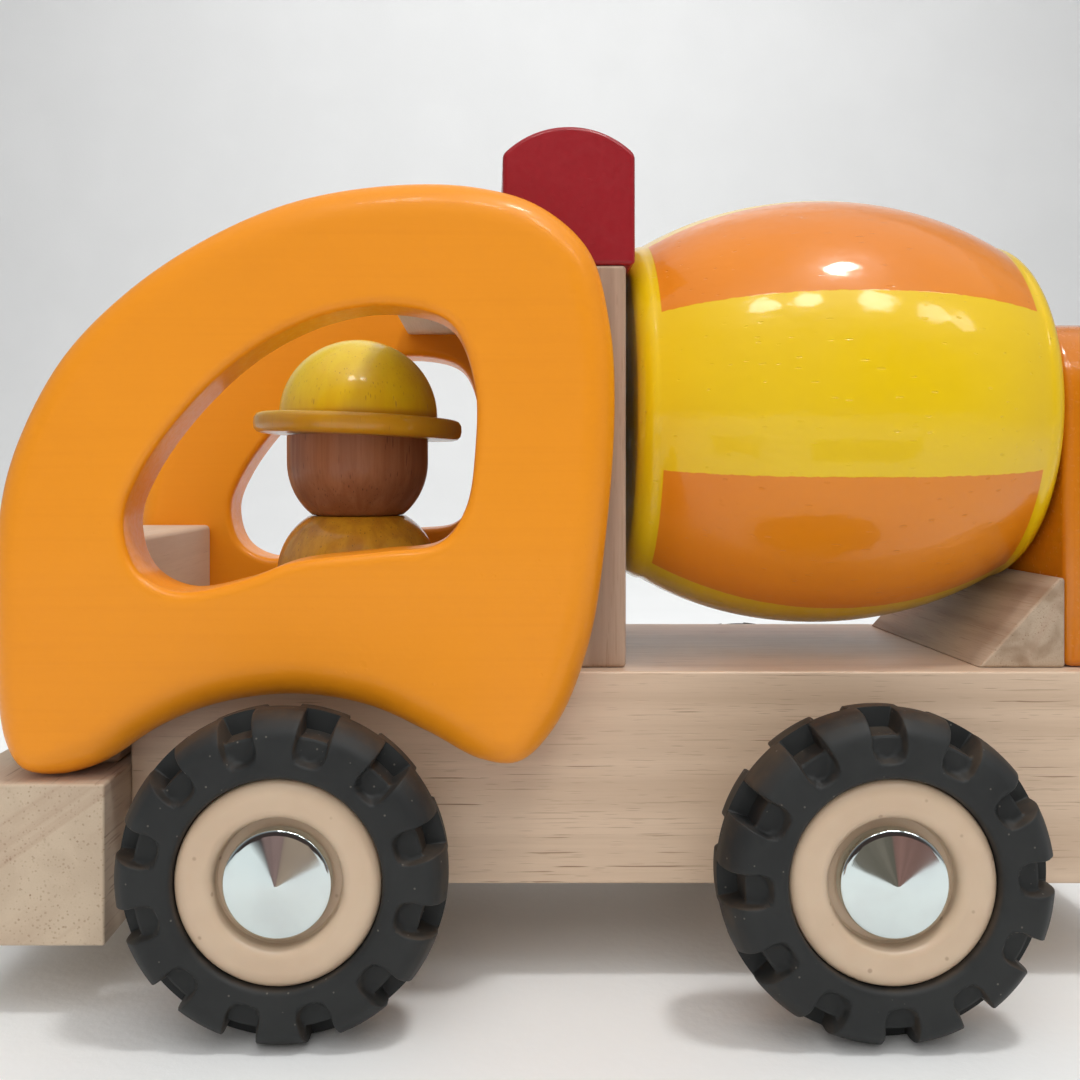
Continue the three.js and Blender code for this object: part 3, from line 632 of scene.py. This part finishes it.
DRUM_BORE = 4.35
DRUM_END_ROUND = 4.5
DRIVER_BORE = 5.1
# The helmet's underside before it is tilted, and its tilt in degrees.
HELMET_HEIGHT = 111.1
HELMET_TILT = 2.4


def drum():
    """The barrel: a swelling side, rounded shoulders and flat ends with a bore between them."""
    low, high = node_box("drum")
    middle = (low + high) / 2
    radius, half, end = (high.z - low.z) / 2, (high.x - low.x) / 2, DRUM_END_ROUND
    bore = DRUM_BORE
    shoulder = half - end

    def swell(x):
        return radius - 0.0059 * x ** 2 - 4.9e-7 * x ** 4

    lip = swell(shoulder) - end
    side = [(swell(x), x) for x in np.linspace(-shoulder, shoulder, 41)[1:-1]]
    turn = [(lip + end * math.cos(a), end * math.sin(a)) for a in np.radians(np.linspace(0, 90, 9))]
    right = [(r, shoulder + x) for r, x in turn]
    left = [(r, -shoulder - x) for r, x in reversed(turn)]
    flat = [(bore, half), (bore + 6, half), (lip - 6, half)]
    profile = [(r, -x) for r, x in flat] + left + side + right + flat[::-1] + [(bore, -half)]
    bm = welded(lathe(profile, middle, "x", 160))
    piece("mixing_drum", bm, drum_look, "drum", ["drum"])


def driver():
    """The turned body, the head and the helmet, all round one upright bore."""
    bore = DRIVER_BORE
    low, high = node_box("driver_body")
    x = (low.x + high.x) / 2
    torso = [(bore, low.z), (17.6, low.z), (18.4, low.z + 0.35), (18.6, low.z + 1)]
    torso += arc((4, 79.6), 14.6, 15.1, 0, 60, 20) + [(10.6, high.z - 0.02), (9.8, high.z)]
    torso += [(bore, high.z), (bore, low.z)]
    bm = welded(lathe(torso, (x, 0, 0), "z"))
    piece("driver_torso", bm, yellow_stain, "driver", ["driver_body"])
    low, high = node_box("driver_head")
    head = [(bore, low.z), (9.6, low.z)] + arc((3, 105.4), 13.4, 15.05, -55.5, 0, 18)
    head += [(16.4, high.z + 1.2), (bore, high.z + 1.2), (bore, low.z)]
    bm = welded(lathe(head, (x, 0, 0), "z"))
    piece("driver_face", bm, head_wood, "driver", ["driver_head"])
    brim, thick, dome, height = 24.2, 4.7, 18.4, 22.6
    edge = [(bore, 9), (bore, 0), (brim - 1.8, 0), (brim - 0.9, 0.25), (brim - 0.2, 1)]
    edge += [(brim, 2.2), (brim - 0.1, thick - 1.2), (brim - 0.7, thick - 0.3)]
    edge += [(brim - 1.6, thick), (dome + 1.2, thick), (dome + 0.3, thick + 0.2)]
    crown = arc((0, thick), dome, height - thick, 0, 90, 22)[:-1] + [(0, height)]
    bm = welded(lathe(edge + crown, ORIGIN, "z"))
    tilt = Matrix.Rotation(math.radians(HELMET_TILT), 4, "Y")
    seat = Matrix.Translation((x, 0, HELMET_HEIGHT)) @ tilt
    bmesh.ops.transform(bm, matrix=seat, verts=bm.verts)
    piece("driver_helmet", bm, hat_stain, "driver", ["driver_hat"])


drum()
driver()


# ---------------------------------------------------------------- wheels

TYRE_HALF = 8.5
TYRE_CROWN = 30
POCKET_HALF = 2.9
POCKET_SOFT = 0.3
POCKET_FLOOR = 26
POCKET_FOOT = 21.6
POCKET_WALL = 6.1
POCKET_COLUMNS = [-3.3, -3.1, -2.95, -2.8, -2.6, -1.9, -1.0, 0, 1.0, 1.9, 2.6, 2.8, 2.95, 3.1, 3.3]
LUG_COLUMNS = 9
WHEEL_BORE = 2.8


def tyre_rows():
    """Rows from the middle of the tread to the bore: the plain surface as (distance from the
    middle, radius), the pocket's floor in the same way, and whether a pocket cuts the row."""
    rows = []
    for share in (0, 0.035, 0.06, 0.085, 0.12, 0.2, 0.3, 0.4, 0.5, 0.6, 0.68, 0.75):
        u = share * TYRE_HALF
        crown = TYRE_CROWN - 1.5 * max(0, (u - 2.2) / 4.4) ** 1.9
        floor = (min(0.15 + 7.2 * share, POCKET_WALL - 0.3), POCKET_FLOOR + 0.4 - 0.5 * share)
        rows.append(((u, crown), floor, share > 0.05))
    shoulder = [(6.9, 28.15), (7.4, 27.75), (7.85, 27.25), (8.2, 26.7), (8.4, 26.1), (8.5, 25.5)]
    for k, plain in enumerate(shoulder):
        rows.append((plain, (POCKET_WALL - 0.22 + 0.05 * k, POCKET_FLOOR - 0.04 - 0.09 * k), True))
    for r in (25.0, 24.5, 24.1, 23.7, 23.3, 22.9, 22.5, 22.2, 21.9, 21.6, 21.3, 20.9):
        rows.append(((TYRE_HALF, r), (POCKET_WALL + 0.1 * (25.5 - r), r), True))
    for u, r in ((8.5, 20.3), (8.4, 19.5), (8.1, 19.0), (7.5, 18.6), (6.4, 18.5)):
        rows.append(((u, r), (u, r), False))
    return rows


def pocket_share(r, w):
    """1 inside a pocket of the tread and 0 outside: straight walls over a round foot."""
    centre = POCKET_FOOT + POCKET_HALF
    out = abs(w) if r > centre else math.hypot(w, r - centre)
    inside = min(1, max(0, (POCKET_HALF + POCKET_SOFT - out) / (2 * POCKET_SOFT)))
    return inside * inside * (3 - 2 * inside)


def tread_columns(radius, even):
    """One pitch of the tread as (angle in degrees, distance from the pocket's middle)."""
    count = len(POCKET_COLUMNS) + LUG_COLUMNS
    edge = math.degrees(POCKET_COLUMNS[-1] / radius)
    own = [(math.degrees(w / radius), w) for w in POCKET_COLUMNS]
    lug = np.linspace(edge, TREAD_PITCH - edge, LUG_COLUMNS + 2)[1:-1]
    own += [(a, TYRE_HALF) for a in lug]
    if even:
        first = -(len(POCKET_COLUMNS) // 2) * TREAD_PITCH / count
        own = [(first + k * TREAD_PITCH / count, TYRE_HALF) for k in range(count)]
    return own


def tyre(axle, side):
    """A tyre of two halves whose pockets are half a pitch apart, joined at the tread's middle."""
    at = axle + "_" + side
    low, high = node_box("tyre_" + at)
    middle = (low + high) / 2
    outward = SIDES[side]
    rows = tyre_rows()
    bm = bmesh.new()
    half_pitch = (len(POCKET_COLUMNS) + LUG_COLUMNS) // 2
    halves = []
    for face in (1, -1):
        phase = AXLES[axle] + (0 if face == 1 else TREAD_PITCH / 2)
        own = []
        for k, (plain, sunk, cut) in enumerate(rows if face == 1 else rows[1:]):
            points = []
            for pocket in range(360 // TREAD_PITCH):
                for offset, w in tread_columns(max(plain[1], 21), face == 1 and k == 0):
                    share = pocket_share(min(plain[1], 28), w) if cut else 0
                    u = plain[0] + (sunk[0] - plain[0]) * share
                    r = plain[1] + (sunk[1] - plain[1]) * share
                    angle = math.radians(phase + pocket * TREAD_PITCH + offset)
                    points.append(axis_point("y", r * math.cos(angle), r * math.sin(angle),
                                             face * outward * u, middle))
            if face == -1:
                points = points[-half_pitch:] + points[:-half_pitch]
            own.append(ring(bm, points))
        halves.append(own)
    skin(bm, halves[1][::-1] + halves[0])
    skin(bm, [halves[0][-1], halves[1][-1]])
    piece("tread_" + at, bm, tyre_look, "wheel_" + at, ["tyre_" + at], sharp=75)


def wheel_parts(axle, side):
    """A wheel's hub with its rim, the metal cap over the axle's end, and the bush behind it."""
    at = axle + "_" + side
    outward = SIDES[side]
    body = "wheel_" + at
    low, high = node_box("tyre_" + at)
    middle = (low + high) / 2
    bore = WHEEL_BORE
    face = [(18.4, 5.6)] + arc((15.6, 5.9), 2.8, 2.0, 8, 90, 7)
    face += arc((13.4, 5.9), 1.95, 2.0, 92, 180, 6)
    profile = [(bore, -9.5), (6.6, -9.5), (7, -9.1), (7, -6.5), (17.6, -6.5), (18.4, -5.8)] + face
    profile += [(11.45, 4.6), (11.1, 4.2), (bore, 4.2), (bore, -9.5)]
    bm = welded(lathe(profile, middle, "y", 112, outward))
    piece("hub_" + at, bm, rim_look, body, ["rim_" + at])
    cone = [(0, 4.6), (9.2, 4.6), (9.65, 5.0), (9.65, 7.35), (9.5, 7.6), (9.2, 7.72), (9.0, 7.8)]
    cone += [(r, 7.8 + (9 - r) / 9 * 1.5) for r in (8.6, 6, 3, 1, 0.35)] + [(0, 9.28)]
    bm = lathe(cone, middle, "y", 144, outward)
    cap_look = turned_metal("cap_metal_" + at, "rim_" + at, colour(0.7, 0.79, 0.79), 0.06, 0.28)
    piece("cap_" + at, bm, cap_look, "chassis", ["hub_cap_" + at])
    low, high = node_box("spacer_" + at)
    half, centre = (high.y - low.y) / 2, (low + high) / 2
    tube = [(bore, -half), (6.1, -half), (6.5, -half + 0.4), (6.5, half - 0.4), (6.1, half)]
    tube += [(bore, half), (bore, -half)]
    bm = welded(lathe(tube, centre, "y", 64))
    piece("bush_" + at, bm, rim_look, "chassis", ["spacer_" + at])


for axle in AXLES:
    for side in SIDES:
        tyre(axle, side)
        wheel_parts(axle, side)

# The hidden rods, pins and dowels keep their CAD shape.
HIDDEN = {"front_axle": axle_look, "rear_axle": axle_look,
          "drum_pin": dowel_wood, "driver_peg": dowel_wood}
for name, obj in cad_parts.items():
    look = HIDDEN.get(name, dowel_wood if "dowel" in name else None)
    if look:
        for material_slot in obj.material_slots:
            material_slot.material = look


# ---------------------------------------------------------------- camera, floor and light

# The photo's camera, found from the truck's outline: metres, and millimetres of lens.
CAMERA_PLACE = (-0.0195, -0.2714, 0.1015)
CAMERA_LENS = 38.67
CAMERA_SENSOR = 36
CAMERA_SHIFT = (0.0463, -0.0574)
BACKDROP_HALF_WIDTH = 3.0
BACKDROP_FRONT = -2.2
FLOOR_REACH = 1.1
FLOOR_BEND = 0.5
WALL_TOP = 2.6


def link(name, data, place=ORIGIN):
    obj = bpy.data.objects.new(name, data)
    obj.location = place
    bpy.context.collection.objects.link(obj)
    return obj


def aim(obj, target):
    obj.rotation_euler = (Vector(target) - obj.location).to_track_quat("-Z", "Y").to_euler()


camera = link("camera", bpy.data.cameras.new("camera"), CAMERA_PLACE)
camera.rotation_euler = (math.pi / 2, 0, 0)
camera.data.sensor_width = CAMERA_SENSOR
camera.data.lens = CAMERA_LENS
camera.data.shift_x, camera.data.shift_y = CAMERA_SHIFT
camera.data.clip_start = 0.01
bpy.context.scene.camera = camera
bpy.context.scene.view_settings.view_transform = "Standard"


def backdrop():
    """A pale floor that curves up into a wall far behind."""
    bm = bmesh.new()
    line = [(BACKDROP_FRONT, 0), (-1, 0), (0, 0), (FLOOR_REACH, 0)]
    line += [(FLOOR_REACH + FLOOR_BEND * math.sin(a), FLOOR_BEND * (1 - math.cos(a)))
             for a in np.radians(np.linspace(5, 90, 18))]
    line += [(FLOOR_REACH + FLOOR_BEND, WALL_TOP)]
    across = np.linspace(-BACKDROP_HALF_WIDTH, BACKDROP_HALF_WIDTH, 9)
    columns = [[bm.verts.new((x, y, z)) for y, z in line] for x in across]
    for a, b in zip(columns, columns[1:]):
        for i in range(len(line) - 1):
            bm.faces.new((a[i], b[i], b[i + 1], a[i + 1]))
    for face in bm.faces:
        face.smooth = True
    mesh = bpy.data.meshes.new("backdrop")
    bm.to_mesh(mesh)
    bm.free()
    obj = link("backdrop", mesh)
    look = Look("pale_backdrop", Roughness=0.75)
    tooth = look.noise(look.stretched((420, 420, 420)), 3, 0.6)
    cloud = look.noise(look.stretched((9, 9, 9)), 2)
    tone = look.mix(look.ramp(cloud, 0.3, 0.7), colour(0.92, 0.93, 0.93), colour(0.9, 0.91, 0.91))
    look.set(Base_Color=tone, Normal=look.bump(tooth, 0.5, 0.3))
    mesh.materials.append(look.material)


backdrop()


def lamp(name, place, target, size, power, tone, shape, depth):
    """An area lamp at place, turned to target; it is size wide and depth high, in metres."""
    data = bpy.data.lights.new(name, "AREA")
    data.shape = shape
    data.size, data.size_y = size, depth
    data.energy = power
    data.color = tone
    obj = link(name, data, place)
    aim(obj, target)
    return obj


WARM = (1, 0.99, 0.97)
WARMER = (1, 0.985, 0.96)
WHITE = (1, 1, 1)
TRUCK = (0.0, 0.0, 0.08)
DRUM_TOP = (0.05, 0, 0.1)
WALL = (0.1, 1.6, 0.35)
lamp("ceiling", (0.1, 0.1, 1.5), TRUCK, 2.2, 4.8, WARM, "RECTANGLE", 2.2)
lamp("key", (0.2, -0.2, 0.8), DRUM_TOP, 0.13, 1.9, WARM, "ELLIPSE", 0.075)
# These three fill the shadows, and are not seen as gleams on the paint.
for unseen in (
        lamp("fill", (-0.35, -1.15, 0.45), TRUCK, 1.3, 4.3, WARMER, "RECTANGLE", 0.8),
        lamp("soft_front", (-0.1, -0.85, 1.15), TRUCK, 1.1, 5.6, WARM, "RECTANGLE", 1.1),
        lamp("wall_wash", (0.1, 0.55, 1.3), WALL, 1.2, 9.0, WHITE, "RECTANGLE", 1.2)):
    unseen.visible_glossy = False
# The row of small lamps along the truck makes gleams only: where, how wide and how strong.
GLEAM_ROW = ((-0.12, 0.15, 0.8), (0.08, 0.12, 0.55), (0.38, 0.17, 0.95), (0.7, 0.18, 0.6),
             (0.92, 0.2, 0.55))
for k, (x, width, power) in enumerate(GLEAM_ROW):
    spot = lamp("row_%d" % k, (x, -0.52, 0.86), (0.05, 0, 0.12), width, power, WARM, "DISK", width)
    spot.visible_diffuse = False


# Each card: its wheel, where it starts and ends along the truck from the hub, and its two tones.
CARD_AHEAD = 0.17
CARD_TOP = 0.05
CARDS = {
    "front_low": ("front", -0.052, -0.018, colour(0.2, 0.125, 0.115), colour(0.29, 0.18, 0.165)),
    "front_high": ("front", -0.018, 0.033, colour(0.34, 0.24, 0.18), colour(0.46, 0.33, 0.25)),
    "rear_low": ("rear", -0.008, 0.052, colour(0.13, 0.11, 0.085), colour(0.2, 0.165, 0.13)),
    "rear_high": ("rear", 0.052, 0.15, colour(0.23, 0.12, 0.1), colour(0.3, 0.155, 0.13)),
}


def dim_cards():
    """Small brown cards that only glossy parts reflect, as the dim room in front of the truck."""
    for name, (axle, start, end, dark, light) in CARDS.items():
        look = Look("dim_room_" + name, Roughness=1.0)
        cloud = look.noise(look.stretched((60, 60, 12)), 2)
        look.set(Base_Color=colour(0, 0, 0), Emission_Strength=1.0)
        look.set(Emission_Color=look.mix(look.ramp(cloud, 0.35, 0.65), dark, light))
        low, high = node_box("hub_cap_" + axle + "_left")
        x, y = (low.x + high.x) / 2 * MM, low.y * MM - CARD_AHEAD
        left, right = x + start, x + end
        corners = [(left, y, MM), (right, y, MM), (right, y, CARD_TOP), (left, y, CARD_TOP)]
        mesh = bpy.data.meshes.new("dim_card_" + name)
        mesh.from_pydata(corners, [], [(0, 1, 2, 3)])
        mesh.materials.append(look.material)
        card = link("dim_card_" + name, mesh)
        card.visible_camera = card.visible_diffuse = card.visible_shadow = False


dim_cards()


# Where the room turns dim, as the Y of a direction, and how strongly it glows.
DIM_FROM, DIM_FULL = -0.3, -0.85
ROOM_TONE = colour(0.93, 0.97, 1.0)
DIM_TONE = colour(0.16, 0.11, 0.1)
ROOM_GLOW = 0.34
ROOM_GLOW_SEEN = 0.78


def room():
    """An even pale room that is dim on the side the truck faces, where the photographer stands."""
    world = bpy.data.worlds.new("studio")
    world.use_nodes = True
    tree = world.node_tree
    direction = tree.nodes.new("ShaderNodeTexCoord").outputs["Generated"]
    parts = tree.nodes.new("ShaderNodeSeparateXYZ")
    tree.links.new(direction, parts.inputs[0])
    dim = tree.nodes.new("ShaderNodeMapRange")
    dim.interpolation_type = "SMOOTHSTEP"
    tree.links.new(parts.outputs["Y"], dim.inputs["Value"])
    dim.inputs["From Min"].default_value = DIM_FROM
    dim.inputs["From Max"].default_value = DIM_FULL
    seen = tree.nodes.new("ShaderNodeLightPath").outputs["Is Camera Ray"]
    keep = tree.nodes.new("ShaderNodeMath")
    keep.operation = "SUBTRACT"
    keep.use_clamp = True
    tree.links.new(dim.outputs[0], keep.inputs[0])
    tree.links.new(seen, keep.inputs[1])
    tone = tree.nodes.new("ShaderNodeMix")
    tone.data_type = "RGBA"
    tree.links.new(keep.outputs[0], tone.inputs[0])
    tone.inputs[6].default_value = ROOM_TONE
    tone.inputs[7].default_value = DIM_TONE
    tree.links.new(tone.outputs[2], tree.nodes["Background"].inputs["Color"])
    glow = tree.nodes.new("ShaderNodeMapRange")
    tree.links.new(seen, glow.inputs["Value"])
    glow.inputs["To Min"].default_value = ROOM_GLOW
    glow.inputs["To Max"].default_value = ROOM_GLOW_SEEN
    tree.links.new(glow.outputs[0], tree.nodes["Background"].inputs["Strength"])
    bpy.context.scene.world = world


room()
